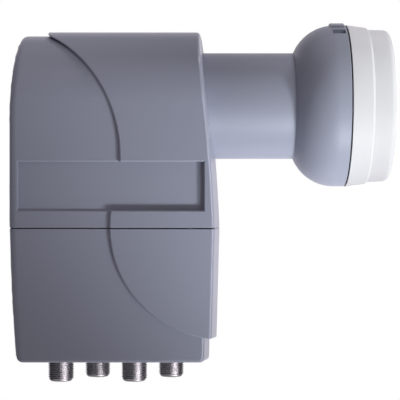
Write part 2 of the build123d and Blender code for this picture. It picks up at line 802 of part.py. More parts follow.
def port_shell(spot):
    """Threaded port: barrel with a bevelled mouth, hexagon collar and screwed-in spigot."""
    with BuildPart() as shell_of_port:
        add(rods(Plane.XY.offset(port_end), (spot,), port_radius, port_collar_z - port_end))
        chamfer(shell_of_port.edges().sort_by(Axis.Z)[0], port_mouth_bevel)
        with BuildSketch(Plane.XY.offset(port_collar_z)):
            with Locations(spot):
                RegularPolygon(port_collar_flats / 2, 6, major_radius=False)
        extrude(amount=collar_top - port_collar_z)
        add(rods(Plane.XY.offset(collar_top), (spot,), port_spigot_radius, port_spigot_top - collar_top))
        drill(Plane.XY.offset(port_end), (spot,), insulator_radius, far)
    return shell_of_port.part


def port_insulator(spot):
    """Insulating core of a port, bored for the contact."""
    low = port_end + insulator_setback
    with BuildPart() as core:
        add(rods(Plane.XY.offset(low), (spot,), insulator_radius, port_spigot_top - insulator_setback - low))
        drill(Plane.XY.offset(low), (spot,), contact_radius, far)
    return core.part


def port_contact(spot):
    """Hollow contact of a port, turned to the board at its top."""
    low = port_end + contact_setback
    side = math.copysign(1, spot[1])
    with BuildPart() as pin:
        add(rods(Plane.XY.offset(low), (spot,), contact_radius, contact_tail_z - low))
        with Locations((*spot, contact_tail_z)):
            Sphere(contact_radius)
        tail_foot = Plane.XZ.offset(-side * board_face)
        tail_length = port_row_offset - board_face
        add(rods(tail_foot, ((spot[0], contact_tail_z),), contact_radius, -side * tail_length))
        drill(Plane.XY.offset(low), (spot,), contact_bore, contact_depth)
    return pin.part


def port_washer(spot):
    """Flat sealing washer between a port's collar and the covers' floor."""
    with BuildPart() as flat:
        add(rods(Plane.XY.offset(collar_top), (spot,), washer_radius, washer_thickness))
        drill(Plane.XY.offset(collar_top), (spot,), port_spigot_radius, far)
    return flat.part


for number, centre in enumerate(port_centres, start=1):
    publish(port_shell(centre), f"port_shell_{number}")
    publish(port_insulator(centre), f"port_insulator_{number}")
    publish(port_contact(centre), f"port_contact_{number}")
    publish(port_washer(centre), f"port_washer_{number}")
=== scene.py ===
"""Looks of a four-way satellite low-noise block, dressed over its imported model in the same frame."""

import json
import logging
import math
from dataclasses import dataclass
from enum import Enum
from typing import Any

import bmesh
import bpy
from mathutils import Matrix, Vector

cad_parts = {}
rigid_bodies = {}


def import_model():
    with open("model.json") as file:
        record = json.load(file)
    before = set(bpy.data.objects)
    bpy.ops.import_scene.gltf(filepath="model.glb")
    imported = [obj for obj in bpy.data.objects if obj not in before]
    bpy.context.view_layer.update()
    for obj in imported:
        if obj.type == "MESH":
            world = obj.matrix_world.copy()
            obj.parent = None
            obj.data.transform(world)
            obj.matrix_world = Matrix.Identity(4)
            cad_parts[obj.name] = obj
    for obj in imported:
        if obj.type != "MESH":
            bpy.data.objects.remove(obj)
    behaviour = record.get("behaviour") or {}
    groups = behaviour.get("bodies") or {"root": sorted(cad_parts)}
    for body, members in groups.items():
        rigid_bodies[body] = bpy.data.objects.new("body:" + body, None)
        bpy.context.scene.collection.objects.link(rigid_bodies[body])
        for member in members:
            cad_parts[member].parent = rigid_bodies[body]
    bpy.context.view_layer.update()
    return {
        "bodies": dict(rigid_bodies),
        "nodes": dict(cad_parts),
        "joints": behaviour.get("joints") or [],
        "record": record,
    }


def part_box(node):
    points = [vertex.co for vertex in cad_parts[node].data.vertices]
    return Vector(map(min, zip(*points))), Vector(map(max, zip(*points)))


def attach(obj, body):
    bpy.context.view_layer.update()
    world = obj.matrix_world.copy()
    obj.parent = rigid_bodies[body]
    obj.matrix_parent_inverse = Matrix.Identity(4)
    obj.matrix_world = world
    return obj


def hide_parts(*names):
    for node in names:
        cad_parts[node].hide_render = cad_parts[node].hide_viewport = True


MM = 0.001
LOG = logging.getLogger("low_noise_block")

# Half depth of the casing at its flat faces, and the lean of its walls toward them.
FACE_MM = 26.3
DRAFT_DEG = 4.5
# How deep light goes into milky plastic, and the share of it for red, green and blue.
SCATTER_MM = 1.2
SCATTER = (1.0, 0.9, 0.8)
# A wave texture turns through this many radians in a unit of length at scale 1.
WAVE_RADIANS = 20.0
# Tolerances in metres: of a cut, of an edge that lies in a plane, and of a face that looks outward.
CUT_TOLERANCE = 1e-6
PLANE_TOLERANCE = 2e-5
OUTWARD_TOLERANCE = 1e-5

Frame = dict[str, Any]
Profile = list[tuple[float, float]]
Level = tuple[int, float]
Point = tuple[float, float, float]
Sockets = bpy.types.bpy_prop_collection


class Body(Enum):
    """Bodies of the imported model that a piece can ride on."""

    FIXED = "body"
    SHIELD = "shield"


class Grain(Enum):
    """What the fine relief of a finish looks like."""

    GRIT = "spark-eroded mould grit"
    PEEL = "orange peel of a baked coat"
    CAST = "open skin of a pressure casting"
    TURNED = "tool lines of a turned part"


def linear(hex_colour: str) -> tuple[float, float, float, float]:
    """Turns an sRGB hex colour to linear light.

    Args:
        hex_colour: Six hex digits after a hash sign.

    Returns:
        Red, green, blue and alpha for a colour socket.
    """
    parts = [int(hex_colour[i : i + 2], 16) / 255 for i in (1, 3, 5)]
    light = [p / 12.92 if p <= 0.04045 else ((p + 0.055) / 1.055) ** 2.4 for p in parts]
    return (light[0], light[1], light[2], 1.0)


def add_node(
    tree: bpy.types.NodeTree,
    kind: str,
    settings: dict[str, Any] | None = None,
    inputs: dict[str | int, Any] | None = None,
) -> bpy.types.Node:
    """Adds one node with its settings and links.

    Args:
        tree: Node tree that takes the node.
        kind: Blender's name for the node type.
        settings: Node attributes by name.
        inputs: Values, or sockets to link from, by input name or index.

    Returns:
        The new node.
    """
    node = tree.nodes.new(kind)
    for name, value in (settings or {}).items():
        setattr(node, name, value)
    for key, value in (inputs or {}).items():
        if isinstance(value, bpy.types.NodeSocket):
            tree.links.new(value, node.inputs[key])
        else:
            node.inputs[key].default_value = value
    return node


def cut_across(form: bmesh.types.BMesh, geometry: list[Any], axis: int, place_mm: float) -> None:
    """Cuts part of a mesh with a plane across one axis.

    Args:
        form: Mesh, changed in place.
        geometry: Vertices, edges and faces that the plane may cut.
        axis: 0 for X, 1 for Y, 2 for Z.
        place_mm: Where the plane crosses the axis.
    """
    place, way = Vector(), Vector()
    place[axis] = place_mm * MM
    way[axis] = 1.0
    bmesh.ops.bisect_plane(form, geom=geometry, dist=CUT_TOLERANCE, plane_co=place, plane_no=way)


@dataclass(frozen=True)
class Finish:
    """A surface named for its material and making, with the values that give it its look."""

    name: str
    slot: str
    colour: str
    shade: str
    roughness: float
    grain: Grain
    grain_mm: float
    relief_mm: float
    patch_mm: float = 30.0
    metallic: float = 0.0
    gloss_spread: float = 0.06
    subsurface: float = 0.0

    def material(self) -> bpy.types.Material:
        """Builds the finish, or returns the one built before.

        Returns:
            The material with its colour drift, gloss drift and relief.
        """
        found = bpy.data.materials.get(self.name)
        if found:
            return found
        made = bpy.data.materials.new(self.name)
        made.use_nodes = True
        tree = made.node_tree
        shader = tree.nodes["Principled BSDF"]
        shader.inputs["Metallic"].default_value = self.metallic
        if self.subsurface:
            shader.inputs["Subsurface Weight"].default_value = self.subsurface
            shader.inputs["Subsurface Radius"].default_value = SCATTER
            shader.inputs["Subsurface Scale"].default_value = SCATTER_MM * MM
        place = add_node(tree, "ShaderNodeTexCoord").outputs["Object"]
        patch = self.patches(tree, place)
        colour = add_node(
            tree,
            "ShaderNodeMix",
            {"data_type": "RGBA"},
            {"Factor": patch, "A": linear(self.colour), "B": linear(self.shade)},
        )
        gloss = add_node(
            tree,
            "ShaderNodeMapRange",
            None,
            {
                "Value": patch,
                "To Min": self.roughness - self.gloss_spread,
                "To Max": self.roughness + self.gloss_spread,
            },
        )
        relief = add_node(
            tree,
            "ShaderNodeBump",
            None,
            {"Height": self.height(tree, place), "Distance": self.relief_mm * MM, "Strength": 1.0},
        )
        tree.links.new(colour.outputs["Result"], shader.inputs["Base Color"])
        tree.links.new(gloss.outputs["Result"], shader.inputs["Roughness"])
        tree.links.new(relief.outputs["Normal"], shader.inputs["Normal"])
        return made

    def patches(self, tree: bpy.types.NodeTree, place: bpy.types.NodeSocket) -> bpy.types.NodeSocket:
        """Adds the slow drift of colour and gloss over the piece.

        Args:
            tree: Node tree of the material.
            place: Object coordinates.

        Returns:
            A socket from 0 to 1.
        """
        drift = add_node(
            tree,
            "ShaderNodeTexNoise",
            None,
            {"Vector": place, "Scale": 1 / (self.patch_mm * MM), "Detail": 3.0, "Roughness": 0.6},
        )
        return drift.outputs["Fac"]

    def height(self, tree: bpy.types.NodeTree, place: bpy.types.NodeSocket) -> bpy.types.NodeSocket:
        """Adds the fine relief that the making left.

        Args:
            tree: Node tree of the material.
            place: Object coordinates.

        Returns:
            A socket with the height from 0 to 1.
        """
        scale = 1 / (self.grain_mm * MM)
        if self.grain is Grain.TURNED:
            lines = add_node(
                tree,
                "ShaderNodeTexWave",
                {"bands_direction": "Z"},
                {"Vector": place, "Scale": scale / WAVE_RADIANS, "Distortion": 0.4, "Detail": 2.0},
            )
            return lines.outputs["Fac"]
        detail = {Grain.GRIT: 1.0, Grain.PEEL: 0.0, Grain.CAST: 4.0}[self.grain]
        grit = add_node(
            tree,
            "ShaderNodeTexNoise",
            None,
            {"Vector": place, "Scale": scale, "Detail": detail, "Roughness": 0.5},
        )
        return grit.outputs["Fac"]


# Weather-proof ABS from a spark-eroded mould: dull grey-blue, even, with a soft broad sheen.
# The real grit is about 0.05 mm; it is drawn at 0.35 mm so that it shows at all.
MOULDED_ABS = Finish(
    "grey_abs_moulded", "housing_plastic", "#9295A4", "#8F92A1", 0.34, Grain.GRIT, 0.35, 0.016
)
# Pressure-cast aluminium under a baked coat in the housing's colour: smoother, with a brighter highlight.
COATED_CASTING = Finish(
    "grey_coated_aluminium_casting", "horn_casting", "#8F92A1", "#8A8D9C", 0.42, Grain.PEEL, 1.2, 0.01
)
# Thin-walled white polypropylene from a matt mould: light enters a little, so its steps look soft.
WHITE_POLYPROPYLENE = Finish(
    "white_polypropylene_moulded",
    "cap_plastic",
    "#D0CFD3",
    "#CBCBCF",
    0.62,
    Grain.GRIT,
    0.4,
    0.01,
    subsurface=0.25,
)
# Carbon-black rubber: nearly no colour, a grey bloom and no clear highlight.
BLACK_RUBBER = Finish(
    "black_rubber_moulded", "seal_rubber", "#17181A", "#232426", 0.72, Grain.GRIT, 0.3, 0.02, 6.0
)
# Aluminium straight from the die: grey, with an open, cloudy skin.
BARE_CASTING = Finish(
    "aluminium_die_cast",
    "chassis_casting",
    "#A9ABAC",
    "#8E9092",
    0.48,
    Grain.CAST,
    0.6,
    0.04,
    8.0,
    metallic=1.0,
    gloss_spread=0.1,
)
# Glass-fibre board under green solder lacquer: deep green, with a wet gloss.
LACQUERED_BOARD = Finish(
    "glass_fibre_board_lacquered", "board_laminate", "#23573A", "#1B4730", 0.3, Grain.PEEL, 0.5, 0.015, 5.0
)
# Tinned brass pins, warm under a thin grey tin.
TINNED_BRASS = Finish(
    "brass_tinned",
    "contact_brass",
    "#D8C389",
    "#BFA66A",
    0.28,
    Grain.TURNED,
    0.08,
    0.004,
    2.0,
    metallic=1.0,
)
# Unfilled polyethylene: milky and waxy, with light inside it.
NATURAL_POLYETHYLENE = Finish(
    "polyethylene_natural",
    "insulator_plastic",
    "#E9E6DC",
    "#DFDBCF",
    0.4,
    Grain.PEEL,
    0.6,
    0.01,
    4.0,
    subsurface=0.3,
)
# Bright nickel on turned brass: clear reflections, faint tool lines, a grey tarnish in places.
BRIGHT_NICKEL = Finish(
    "brass_turned_nickel_plated",
    "port_nickel",
    "#BDBBBD",
    "#ABA9AB",
    0.3,
    Grain.TURNED,
    0.12,
    0.003,
    3.0,
    metallic=1.0,
)
# Zinc-plated screws: bluish silver with a satin haze.
ZINC_STEEL = Finish(
    "steel_zinc_plated", "screw_steel", "#B9BEC2", "#A3A9AE", 0.34, Grain.CAST, 0.3, 0.006, 3.0, metallic=1.0
)
FINISHES = (
    MOULDED_ABS,
    COATED_CASTING,
    WHITE_POLYPROPYLENE,
    BLACK_RUBBER,
    BARE_CASTING,
    LACQUERED_BOARD,
    TINNED_BRASS,
    NATURAL_POLYETHYLENE,
    BRIGHT_NICKEL,
    ZINC_STEEL,
)


def new_piece(name: str, mesh: bpy.types.Mesh, finish: Finish) -> bpy.types.Object:
    """Links a mesh into the scene under one finish.

    Args:
        name: Name of the piece.
        mesh: Finished mesh, with its place in its vertices.
        finish: Surface of the whole piece.

    Returns:
        The new object at the origin.
    """
    mesh.materials.clear()
    mesh.materials.append(finish.material())
    piece = bpy.data.objects.new(name, mesh)
    bpy.context.scene.collection.objects.link(piece)
    return piece


def stand_for(piece: bpy.types.Object, body: Body, finish: Finish, *nodes: str) -> None:
    """Lets a piece ride on a body in the place of CAD nodes.

    Args:
        piece: Finished piece.
        body: Body that it moves with.
        finish: Not used.
        nodes: CAD nodes that it stands for.
    """
    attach(piece, body.value)
    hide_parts(*nodes)
    LOG.info("%s stands for %s", piece.name, ", ".join(nodes))


@dataclass(frozen=True)
class RoundedCorner:
    """A corner of the front outline that the picture shows with a larger radius than the CAD form."""

    radius_mm: float
    corner_mm: tuple[float, float]
    sides: tuple[int, int]
    draft_deg: float = 0.0
    face_mm: float = FACE_MM
    face_edge_mm: float = 1.15
    cut_mm: float = 0.4

    def cut(self, form: bmesh.types.BMesh) -> None:
        """Cuts the faces across the corner, so that they can be bent there.

        Args:
            form: Merged mesh, changed in place.
        """
        reach = self.radius_mm + self.face_mm * math.tan(math.radians(self.draft_deg))
        count = math.ceil(reach / self.cut_mm)
        for axis, corner, side in zip((0, 2), self.corner_mm, self.sides):
            for step in range(1, count + 1):
                every = [*form.verts, *form.edges, *form.faces]
                cut_across(form, every, axis, corner - side * reach * step / count)

    def bend(self, form: bmesh.types.BMesh) -> None:
        """Brings what stands outside the larger radius in to it.

        Args:
            form: Merged mesh, changed in place.
        """
        self.cut(form)
        radius, edge = self.radius_mm * MM, self.face_edge_mm * MM
        slope = math.tan(math.radians(self.draft_deg))
        for vert in form.verts:
            inward = abs(vert.co.y) * slope + radius
            depth = min(max(self.face_mm * MM - abs(vert.co.y), 0.0), edge)
            inner = radius - edge + math.sqrt(edge**2 - (edge - depth) ** 2)
            x, z = (corner * MM - side * inward for corner, side in zip(self.corner_mm, self.sides))
            centre = Vector((x, vert.co.y, z))
            out = vert.co - centre
            if self.sides[0] * out.x > 0 and self.sides[1] * out.z > 0 and out.length > inner:
                vert.co = centre + out * (inner / out.length)


@dataclass(frozen=True)
class RoundedSide:
    """The casing's long left edge, which the picture shows rounder than the CAD form."""

    radius_mm: float = 2.6
    face_mm: float = FACE_MM
    left_mm: float = -91.93
    knees_mm: tuple[float, float] = (-8.0, -30.0)
    arcs_mm: tuple[float, float] = (172.0, 800.0)
    draft_deg: float = DRAFT_DEG
    reach_mm: float = 9.0
    cut_mm: tuple[float, float] = (0.4, 4.0)

    def wall(self, height_mm: float) -> float:
        """Works out where the left wall stands on the parting plane.

        Args:
            height_mm: Height in the shared frame.

        Returns:
            X of the wall in millimetres.
        """
        past = (height_mm - self.knees_mm[0], self.knees_mm[1] - height_mm)
        bows = (arc - math.sqrt(arc**2 - max(rise, 0.0) ** 2) for arc, rise in zip(self.arcs_mm, past))
        return self.left_mm + sum(bows)

    def cut(self, form: bmesh.types.BMesh) -> None:
        """Cuts the faces along the edge, so that they can be bent there.

        Args:
            form: Merged mesh, changed in place.
        """
        heights = [vert.co.z / MM for vert in form.verts]
        right = self.left_mm + self.reach_mm
        spans = ((0, self.left_mm, right), (2, min(heights), max(heights)))
        for (axis, low, high), step in zip(spans, self.cut_mm):
            for count in range(1, math.ceil((high - low) / step)):
                near = [face for face in form.faces if min(vert.co.x for vert in face.verts) < right * MM]
                edges = dict.fromkeys(edge for face in near for edge in face.edges)
                verts = dict.fromkeys(vert for face in near for vert in face.verts)
                cut_across(form, [*verts, *edges, *near], axis, low + count * step)

    def bend(self, form: bmesh.types.BMesh) -> None:
        """Brings what stands outside the larger radius in to it, on the flat face and on the arch above.

        Args:
            form: Merged mesh, changed in place.
        """
        self.cut(form)
        slope = math.tan(math.radians(self.draft_deg))
        for vert in form.verts:
            x, y, z = vert.co / MM
            inset = min(max(x - self.wall(z) - abs(y) * slope, 0.0), self.radius_mm)
            sink = math.sqrt(self.radius_mm**2 - (self.radius_mm - inset) ** 2)
            limit = self.face_mm - self.radius_mm + sink
            stand = math.hypot(y, max(z, 0.0))
            if inset < self.radius_mm and stand > limit:
                vert.co.y *= limit / stand
                vert.co.z *= limit / stand if z > 0 else 1.0


@dataclass(frozen=True)
class LatchSlots:
    """Slots across the bowl's top, as wide as the picture shows them; those of the CAD form are narrower."""

    skin_mm: float = 28.4
    near_deg: float = 20.5
    cut_deg: tuple[float, float] = (26.8, 29.2)
    shown_deg: tuple[float, float] = (25.3, 32.4)
    far_deg: float = 45.0

    def bend(self, form: bmesh.types.BMesh) -> None:
        """Turns the slots' walls apart about the neck's axis, so that all stays on the round skin.

        Args:
            form: Merged mesh, changed in place.
        """
        old = (self.near_deg, *self.cut_deg, self.far_deg)
        new = (self.near_deg, *self.shown_deg, self.far_deg)
        spans = list(zip(old, old[1:], new, new[1:]))
        for vert in form.verts:
            radius = math.hypot(vert.co.y, vert.co.z)
            angle = math.degrees(math.atan2(abs(vert.co.y), vert.co.z))
            for low, high, new_low, new_high in spans:
                if radius > self.skin_mm * MM and low < angle <= high:
                    turned = math.radians(new_low + (angle - low) * (new_high - new_low) / (high - low))
                    vert.co.y = math.copysign(radius * math.sin(turned), vert.co.y)
                    vert.co.z = radius * math.cos(turned)


Bend = RoundedCorner | RoundedSide | LatchSlots


@dataclass
class SoftenedCopy:
    """A CAD node's own form with the edges that show broken, as a mould or a deburring leaves them."""

    frame: Frame
    node: str
    edge_mm: float
    levels: tuple[Level, ...]
    merge_mm: float = 0.002
    flat_deg: float = 0.05
    smooth_deg: float = 25.0
    sharp_deg: float = 60.0
    edge_segments: int = 2
    bends: tuple[Bend, ...] = ()

    def at_level(self, edge: bmesh.types.BMEdge) -> bool:
        """Tells whether an edge lies in one of the planes, each an axis and a place on it in metres."""
        return any(
            all(abs(vert.co[axis] - place) < PLANE_TOLERANCE for vert in edge.verts)
            for axis, place in self.levels
        )

    def shows(self, edge: bmesh.types.BMEdge, centre: Vector) -> bool:
        """Tells whether an edge is a sharp outer corner of the piece.

        Args:
            edge: Edge of the merged mesh.
            centre: Middle of the piece.

        Returns:
            True where both its faces look away from the middle.
        """
        if len(edge.link_faces) != 2 or not edge.is_convex:
            return False
        if edge.calc_face_angle(0.0) < math.radians(self.sharp_deg):
            return False
        away = (edge.verts[0].co + edge.verts[1].co) / 2 - centre
        return all(face.normal.dot(away) > -OUTWARD_TOLERANCE for face in edge.link_faces)

    def mesh(self) -> bpy.types.Mesh:
        """Merges the node's loose triangles, joins those that lie flat and marks the edges to break.

        Returns:
            A new smooth-shaded mesh.
        """
        copy = self.frame["nodes"][self.node].data.copy()
        for attribute in [a for a in copy.attributes if a.name == "custom_normal"]:
            copy.attributes.remove(attribute)
        low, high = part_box(self.node)
        form = bmesh.new()
        form.from_mesh(copy)
        bmesh.ops.remove_doubles(form, verts=form.verts, dist=self.merge_mm * MM)
        bmesh.ops.dissolve_limit(
            form, angle_limit=math.radians(self.flat_deg), verts=form.verts, edges=form.edges
        )
        for bend in self.bends:
            bend.bend(form)
        weight = form.edges.layers.float.new("bevel_weight_edge")
        for face in form.faces:
            face.smooth = True
        smooth = math.radians(self.smooth_deg)
        for edge in form.edges:
            edge.smooth = len(edge.link_faces) == 2 and edge.calc_face_angle(0.0) < smooth
            edge[weight] = float(self.at_level(edge) and self.shows(edge, (low + high) / 2))
        form.to_mesh(copy)
        form.free()
        copy.name = f"{self.node}_softened"
        return copy

    def build(self, body: Body, finish: Finish) -> bpy.types.Object:
        """Makes the piece and rounds the marked edges.

        Args:
            body: Body that it moves with.
            finish: Surface of the whole piece.

        Returns:
            The piece that stands for the node.
        """
        piece = new_piece(f"{self.node}_skin", self.mesh(), finish)
        round_off = piece.modifiers.new("broken_edges", "BEVEL")
        round_off.width = self.edge_mm * MM
        round_off.segments = self.edge_segments
        round_off.limit_method = "WEIGHT"
        round_off.use_clamp_overlap = False
        shading = piece.modifiers.new("shading_from_large_faces", "WEIGHTED_NORMAL")
        shading.keep_sharp = True
        stand_for(piece, body, finish, self.node)
        return piece


@dataclass
class Casing:
    """Two covers and the sliding shield below their seam."""

    frame: Frame
    edge_mm: float = 0.18
    seam_gap_mm: float = 0.4
    draft_deg: float = DRAFT_DEG
    top_radius_mm: float = 3.4
    top_corner_mm: tuple[float, float] = (-20.3, 27.8)
    low_radii_mm: tuple[float, float] = (2.4, 1.5)
    low_corners_mm: tuple[float, float] = (-89.27, -17.57)
    rib_inset_mm: float = 0.28
    rib_wide_mm: float = 1.1
    rib_deep_mm: float = 0.5
    rib_clear_mm: float = 0.06
    rib_half_length_mm: float = 24.2
    covers: tuple[str, ...] = ("front_cover", "rear_cover")
    shield: str = "weather_shield"

    def dress(self) -> None:
        """Builds the shells in moulded plastic, with the seam's lips and the parting line broken."""
        shield_low, shield_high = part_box(self.shield)
        floor = shield_low.z / MM
        cover_levels = ((2, shield_high.z + self.seam_gap_mm * MM), (1, 0.0))
        top_right = RoundedCorner(self.top_radius_mm, self.top_corner_mm, (1, 1))
        low_left, low_right = (
            RoundedCorner(radius, (corner, floor), (side, -1), self.draft_deg)
            for radius, corner, side in zip(self.low_radii_mm, self.low_corners_mm, (-1, 1))
        )
        left_edge = RoundedSide()
        for node in self.covers:
            cover = SoftenedCopy(self.frame, node, self.edge_mm, cover_levels, bends=(top_right, left_edge))
            cover.build(Body.FIXED, MOULDED_ABS)
        low_bends = (low_left, low_right, left_edge)
        shield = SoftenedCopy(self.frame, self.shield, self.edge_mm, ((2, shield_high.z),), bends=low_bends)
        shield.build(Body.SHIELD, MOULDED_ABS)
        self.add_seam_ribs()

    def add_seam_ribs(self) -> None:
        """Stands a low rib on each side lip of the shield, which keeps light out of the seam."""
        low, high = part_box(self.shield)
        slope = math.tan(math.radians(self.draft_deg))
        foot = high.z - self.rib_deep_mm * MM
        crest = high.z + (self.seam_gap_mm - self.rib_clear_mm) * MM
        form = bmesh.new()
        for wall, side in ((low.x, -1), (high.x, 1)):
            rings = []
            for y in (-self.rib_half_length_mm * MM, 0.0, self.rib_half_length_mm * MM):
                outer = wall - side * (abs(y) * slope + self.rib_inset_mm * MM)
                inner = outer - side * self.rib_wide_mm * MM
                spots = ((outer, foot), (outer, crest), (inner, crest), (inner, foot))
                rings.append([form.verts.new((x, y, z)) for x, z in spots])
            for near, far in zip(rings, rings[1:]):
                for here in range(len(near)):
                    following = (here + 1) % len(near)
                    form.faces.new((near[here], near[following], far[following], far[here]))
            form.faces.new(rings[0])
            form.faces.new(rings[-1])
        bmesh.ops.recalc_face_normals(form, faces=form.faces)
        mesh = bpy.data.meshes.new("seam_ribs")
        form.to_mesh(mesh)
        form.free()
        piece = new_piece("seam_ribs", mesh, MOULDED_ABS)
        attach(piece, Body.SHIELD.value)
        LOG.info("%s close the ends of the seam", piece.name)


@dataclass
class Feed:
    """Cast horn with its white cap."""

    frame: Frame
    edge_mm: float = 0.18
    cap_edge_mm: float = 0.1
    cap_gap_mm: float = 0.5
    cap_band_mm: float = 41.2

    def dress(self) -> None:
        """Builds the horn and the cap, with the lips of their joint and the cap's step broken."""
        horn_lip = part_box("feed_horn")[1].x
        cap_lip = horn_lip + self.cap_gap_mm * MM
        horn = SoftenedCopy(self.frame, "feed_horn", self.edge_mm, ((0, horn_lip),), bends=(LatchSlots(),))
        horn.build(Body.FIXED, COATED_CASTING)
        cap_levels = ((0, cap_lip), (0, self.cap_band_mm * MM))
        cap = SoftenedCopy(self.frame, "feed_cap", self.cap_edge_mm, cap_levels)
        cap.build(Body.FIXED, WHITE_POLYPROPYLENE)


@dataclass
class PortRow:
    """Four threaded ports in two staggered rows, cut by one Geometry Nodes tree."""

    crest_mm: float = 9.525
    depth_mm: float = 0.42
    pitch_mm: float = 25.4 / 32
    flank: tuple[float, float] = (0.25, 0.75)
    rings_per_turn: int = 8
    segments: int = 48
    smooth_deg: float = 25.0
    mouth_bevel_mm: float = 0.5
    collar_mm: float = 1.7
    spigot_radius_mm: float = 4.6
    run_out_turns: float = 1.0
    ports_per_row: int = 2
    shells: tuple[str, ...] = ("port_shell_1", "port_shell_2", "port_shell_3", "port_shell_4")

    def centre(self, index: int) -> Vector:
        """Gives the middle of a port's mouth, in metres."""
        low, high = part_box(self.shells[index])
        return Vector(((low.x + high.x) / 2, (low.y + high.y) / 2, low.z))

    def root(self) -> float:
        """Gives the radius of the thread's root, in metres."""
        return (self.crest_mm / 2 - self.depth_mm) * MM

    def profile(self) -> Profile:
        """Works out half the section of one plain port.

        Returns:
            Radius and height above the mouth, anticlockwise round the wall.
        """
        low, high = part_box(self.shells[0])
        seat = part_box("port_washer_1")[0].z - low.z
        insulator_low, insulator_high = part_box("port_insulator_1")
        bore = (insulator_high.x - insulator_low.x) / 2
        root = self.root()
        bevel = self.mouth_bevel_mm * MM
        collar_low = seat - self.collar_mm * MM
        rings = round((collar_low - bevel) / (self.pitch_mm * MM) * self.rings_per_turn)
        step = (collar_low - bevel) / rings
        flats = (high.y - low.y) / 2
        spigot = self.spigot_radius_mm * MM
        top = high.z - low.z
        mouth = [(bore, 0.0), (root - bevel, 0.0)]
        barrel = [(root, bevel + i * step) for i in range(rings + 1)]
        collar = [(flats, collar_low), (flats, seat)]
        return [*mouth, *barrel, *collar, (spigot, seat), (spigot, top), (bore, top)]

    def blank(self) -> bpy.types.Mesh:
        """Turns the section into a closed port with a hexagon collar.

        Returns:
            The mesh of one port with its mouth at the origin.
        """
        section = self.profile()
        low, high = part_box(self.shells[0])
        flats = (high.y - low.y) / 2
        form = bmesh.new()
        rows = []
        for radius, height in section:
            row = []
            for step in range(self.segments):
                turn = math.tau * step / self.segments
                # Angle from the middle of the nearest of the collar's six flats.
                corner = (turn + math.pi / 6) % (math.pi / 3) - math.pi / 6
                reach = radius / math.cos(corner) if radius == flats else radius
                row.append(form.verts.new((reach * math.sin(turn), reach * math.cos(turn), height)))
            rows.append(row)
        for inner, outer in zip(rows, rows[1:] + rows[:1]):
            for step in range(self.segments):
                following = (step + 1) % self.segments
                form.faces.new((inner[step], inner[following], outer[following], outer[step]))
        bmesh.ops.recalc_face_normals(form, faces=form.faces)
        for face in form.faces:
            face.smooth = True
        for edge in form.edges:
            edge.smooth = edge.calc_face_angle(0.0) < math.radians(self.smooth_deg)
        mesh = bpy.data.meshes.new("port_blank")
        form.to_mesh(mesh)
        form.free()
        return mesh

    @staticmethod
    def add_sockets(tree: bpy.types.NodeTree) -> None:
        """Gives the tree its named inputs and its one output.

        Args:
            tree: New node tree.
        """
        face = tree.interface
        face.new_socket("Port", in_out="INPUT", socket_type="NodeSocketGeometry")
        for name in ("Pitch", "Depth", "Thread Low", "Thread High", "Run Out", "Barrel Radius"):
            face.new_socket(name, in_out="INPUT", socket_type="NodeSocketFloat")
        for name in ("Front Start", "Front Step", "Rear Start", "Rear Step"):
            face.new_socket(name, in_out="INPUT", socket_type="NodeSocketVector")
        face.new_socket("Finish", in_out="INPUT", socket_type="NodeSocketMaterial")
        face.new_socket("Ports", in_out="OUTPUT", socket_type="NodeSocketGeometry")

    def thread(self, tree: bpy.types.NodeTree, given: Sockets) -> dict[str, bpy.types.NodeSocket]:
        """Adds the sums that say where the thread stands out of the plain barrel, and how far.

        Args:
            tree: Node tree that takes the sums.
            given: The tree's inputs.

        Returns:
            Sockets by name, among them on_barrel, 1 on the outer skin, and lift, a way in metres.
        """
        spot = add_node(tree, "GeometryNodeInputPosition").outputs["Position"]
        axes = add_node(tree, "ShaderNodeSeparateXYZ", None, {"Vector": spot}).outputs
        foot, crest = self.flank
        number, span, vector = "ShaderNodeMath", "ShaderNodeMapRange", "ShaderNodeVectorMath"
        soft = {"interpolation_type": "SMOOTHSTEP"}
        # Each step is a name, a node, its settings and its inputs: numbers, or names of what came before.
        steps = (
            ("angle", number, {"operation": "ARCTAN2"}, {0: "Y", 1: "X"}),
            ("turns", number, {"operation": "DIVIDE"}, {0: "angle", 1: math.tau}),
            ("pitches", number, {"operation": "DIVIDE"}, {0: "Z", 1: "Pitch"}),
            ("lead", number, {"operation": "SUBTRACT"}, {0: "pitches", 1: "turns"}),
            ("half_wave", number, {"operation": "PINGPONG"}, {0: "lead", 1: 0.5}),
            ("wave", number, {"operation": "MULTIPLY"}, {0: "half_wave", 1: 2.0}),
            ("flank", span, {}, {"Value": "wave", "From Min": foot, "From Max": crest}),
            ("begun", number, {"operation": "ADD"}, {0: "Thread Low", 1: "Run Out"}),
            ("begin", span, soft, {"Value": "Z", "From Min": "Thread Low", "From Max": "begun"}),
            ("ending", number, {"operation": "SUBTRACT"}, {0: "Thread High", 1: "Run Out"}),
            ("end", span, soft, {"Value": "Z", "From Min": "Thread High", "From Max": "ending"}),
            ("full_height", number, {"operation": "MULTIPLY"}, {0: "flank", 1: "Depth"}),
            ("both_ends", number, {"operation": "MULTIPLY"}, {0: "begin", 1: "end"}),
            ("height", number, {"operation": "MULTIPLY"}, {0: "full_height", 1: "both_ends"}),
            ("level", "ShaderNodeCombineXYZ", {}, {"X": "X", "Y": "Y"}),
            ("outward", vector, {"operation": "NORMALIZE"}, {0: "level"}),
            ("lift", vector, {"operation": "SCALE"}, {0: "outward", "Scale": "height"}),
            ("x_squared", number, {"operation": "POWER"}, {0: "X", 1: 2.0}),
            ("y_squared", number, {"operation": "POWER"}, {0: "Y", 1: 2.0}),
            ("squares", number, {"operation": "ADD"}, {0: "x_squared", 1: "y_squared"}),
            ("radius", number, {"operation": "SQRT"}, {0: "squares"}),
            ("on_barrel", number, {"operation": "GREATER_THAN"}, {0: "radius", 1: "Barrel Radius"}),
        )
